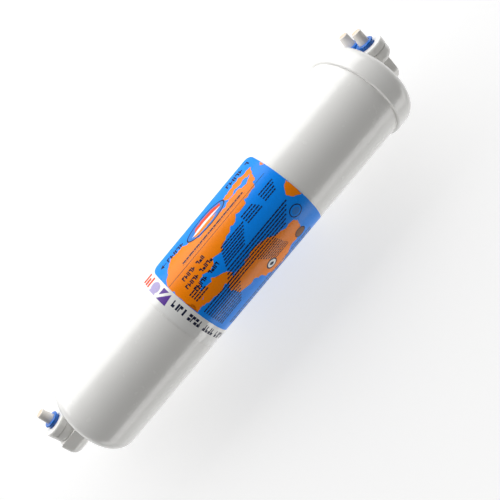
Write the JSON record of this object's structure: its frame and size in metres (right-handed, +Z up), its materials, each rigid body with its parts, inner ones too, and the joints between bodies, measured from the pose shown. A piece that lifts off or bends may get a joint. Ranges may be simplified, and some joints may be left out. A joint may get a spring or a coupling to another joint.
{
  "type": "inline water filter",
  "caption": "Round inline water filter cartridge with a domed outlet end, a ringed inlet cap, twin push-fit inlet ports, a push-fit outlet elbow, release collets and pull-out plugs.",
  "frame": {"origin": "on the tube's axis, in the middle of the straight wall that the clips hold", "axes": "+X along the tube from the outlet to the inlet, +Z up, the ports lean up from +Y"},
  "size_m": [0.3201, 0.0668, 0.0668],
  "materials": {
    "housing_plastic": "glossy moulded off-white polypropylene",
    "cap_plastic": "glossy moulded off-white polypropylene",
    "fitting_plastic": "glossy white acetal",
    "collet_blue": "glossy bright blue acetal",
    "grip_steel": "bright spring steel",
    "spacer_plastic": "matt grey nylon",
    "seal_rubber": "matt black rubber",
    "plug_plastic": "satin off-white polyethylene",
    "label_film": "glossy printed film in blue and orange",
    "carbon": "matt pressed black carbon",
    "felt": "white non-woven felt",
    "net_plastic": "matt white polyethylene",
    "block_cap_plastic": "matt white polypropylene"
  },
  "bodies": {
    "filter": {"block_closed_cap": "block_cap_plastic", "block_gaskets": "seal_rubber", "block_open_cap": "block_cap_plastic", "carbon_block": "carbon", "core_tube": "net_plastic", "end_cap": "cap_plastic", "housing_body": "housing_plastic", "inlet_a_grip_ring": "grip_steel", "inlet_a_insert": "fitting_plastic", "inlet_a_o_ring": "seal_rubber", "inlet_a_spacer": "spacer_plastic", "inlet_b_grip_ring": "grip_steel", "inlet_b_insert": "fitting_plastic", "inlet_b_o_ring": "seal_rubber", "inlet_b_spacer": "spacer_plastic", "inlet_stem_seal": "seal_rubber", "inlet_twin_fitting": "fitting_plastic", "label": "label_film", "nipple_o_rings": "seal_rubber", "outer_netting": "net_plastic", "outlet_elbow_fitting": "fitting_plastic", "outlet_grip_ring": "grip_steel", "outlet_insert": "fitting_plastic", "outlet_o_ring": "seal_rubber", "outlet_spacer": "spacer_plastic", "outlet_stem_seal": "seal_rubber", "prefilter_wrap": "felt"},
    "inlet_a_collet": {"inlet_a_collet": "collet_blue"},
    "inlet_a_plug": {"inlet_a_plug": "plug_plastic"},
    "inlet_b_collet": {"inlet_b_collet": "collet_blue"},
    "inlet_b_plug": {"inlet_b_plug": "plug_plastic"},
    "outlet_collet": {"outlet_collet": "collet_blue"},
    "outlet_plug": {"outlet_plug": "plug_plastic"}
  },
  "joints": [
    {"name": "inlet_a_collet_press", "type": "slide", "parent": "filter", "child": "inlet_a_collet", "axis": [0, -0.9397, -0.342], "range_m": [0, 0.0015], "stiffness_N_per_m": 600},
    {"name": "inlet_a_plug_slide", "type": "slide", "parent": "filter", "child": "inlet_a_plug", "axis": [0, 0.9397, 0.342], "range_m": [0, 0.035]},
    {"name": "inlet_b_collet_press", "type": "slide", "parent": "filter", "child": "inlet_b_collet", "axis": [0, -0.9397, -0.342], "range_m": [0, 0.0015], "stiffness_N_per_m": 600},
    {"name": "inlet_b_plug_slide", "type": "slide", "parent": "filter", "child": "inlet_b_plug", "axis": [0, 0.9397, 0.342], "range_m": [0, 0.035]},
    {"name": "outlet_collet_press", "type": "slide", "parent": "filter", "child": "outlet_collet", "axis": [0, -0.9397, -0.342], "range_m": [0, 0.0015], "stiffness_N_per_m": 600},
    {"name": "outlet_plug_slide", "type": "slide", "parent": "filter", "child": "outlet_plug", "axis": [0, 0.9397, 0.342], "range_m": [0, 0.035]}
  ]
}
